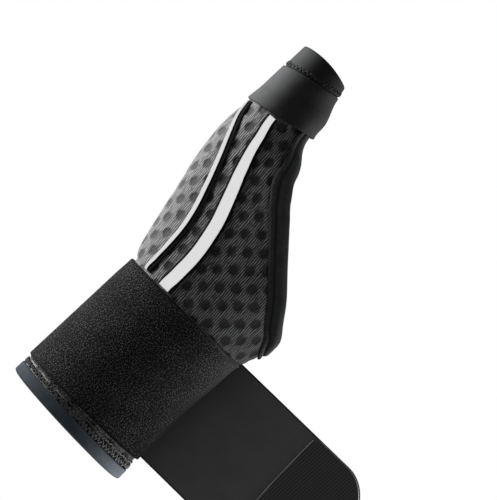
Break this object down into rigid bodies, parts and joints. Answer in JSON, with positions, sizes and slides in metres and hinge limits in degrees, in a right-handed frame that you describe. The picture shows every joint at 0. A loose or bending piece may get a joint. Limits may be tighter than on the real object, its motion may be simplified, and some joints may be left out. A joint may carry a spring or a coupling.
{
  "type": "thumb spica splint",
  "caption": "Left-hand thumb spica splint: hollow mesh sleeve for wrist and thumb, bound edges, thumb band, reflective stripes and a wide loop strap with a free tail and hook tab.",
  "frame": {"origin": "the middle of the wrist, under the middle of the strap", "axes": "+X from the forearm end toward the thumb end, +Z to the thumb side, -Y to the palm side"},
  "size_m": [0.1999, 0.0508, 0.1781],
  "materials": {
    "mesh": "black 3-D spacer mesh with round dimples and fine ribs",
    "tape": "smooth blue-grey folded edge tape",
    "band": "smooth stretch knit with a soft sheen",
    "pile": "black brushed loop pile outside, smooth inside",
    "hook": "ribbed black hook tape",
    "backing": "flat black tape under the stripes",
    "silver": "pale silver reflective film"
  },
  "bodies": {
    "root": {"sleeve": "mesh", "forearm_binding": "tape", "palm_binding": "tape", "thumb_hem": "tape", "thumb_band": "band", "wrist_strap": "pile", "hook_tab": "hook", "wide_backing": "backing", "wide_stripe": "silver", "narrow_backing": "backing", "narrow_stripe": "silver"}
  },
  "joints": []
}
